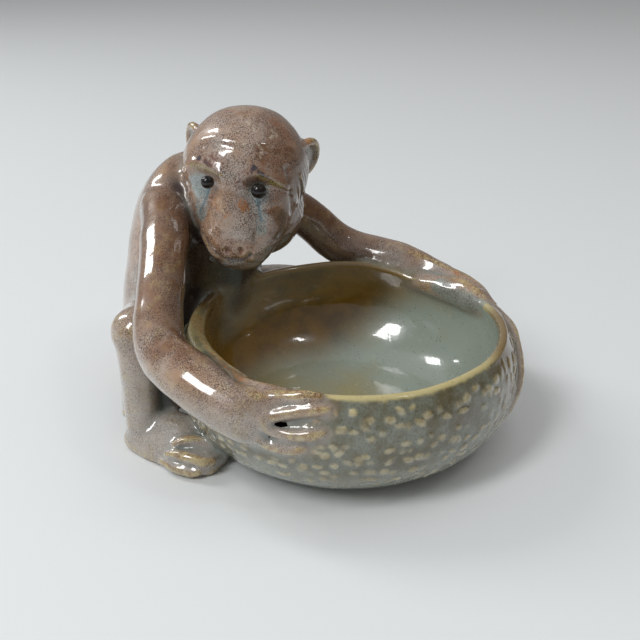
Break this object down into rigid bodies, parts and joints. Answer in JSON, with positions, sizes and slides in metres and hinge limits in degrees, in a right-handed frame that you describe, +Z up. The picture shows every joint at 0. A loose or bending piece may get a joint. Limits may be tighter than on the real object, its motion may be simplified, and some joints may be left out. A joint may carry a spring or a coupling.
{
  "type": "monkey effigy vessel",
  "caption": "Squatting glazed stoneware monkey with its arms wrapped round an open bowl and its head turned to one side.",
  "frame": {"origin": "centre of the bowl's flat foot, at the height of the table", "axes": "+Z up; +Y from the bowl to the monkey, which faces -Y; +X the monkey's left"},
  "size_m": [0.163, 0.1879, 0.1259],
  "materials": {
    "brown_glaze": "glossy brown and mauve-grey glaze with fine dark speckle",
    "bowl_glaze": "glossy grey-green glaze with raised cream dabs outside",
    "black_glaze": "glossy black",
    "bare_stoneware": "matt, unglazed"
  },
  "bodies": {
    "root": {"bowl": "bowl_glaze", "torso": "brown_glaze", "torso_base": "bare_stoneware", "head": "brown_glaze", "right_eye": "black_glaze", "left_eye": "black_glaze", "right_ear": "brown_glaze", "left_ear": "brown_glaze", "right_arm": "brown_glaze", "left_arm": "brown_glaze", "right_hand": "brown_glaze", "left_hand": "brown_glaze", "right_leg": "brown_glaze", "left_leg": "brown_glaze", "right_foot": "brown_glaze", "left_foot": "brown_glaze"}
  },
  "joints": []
}
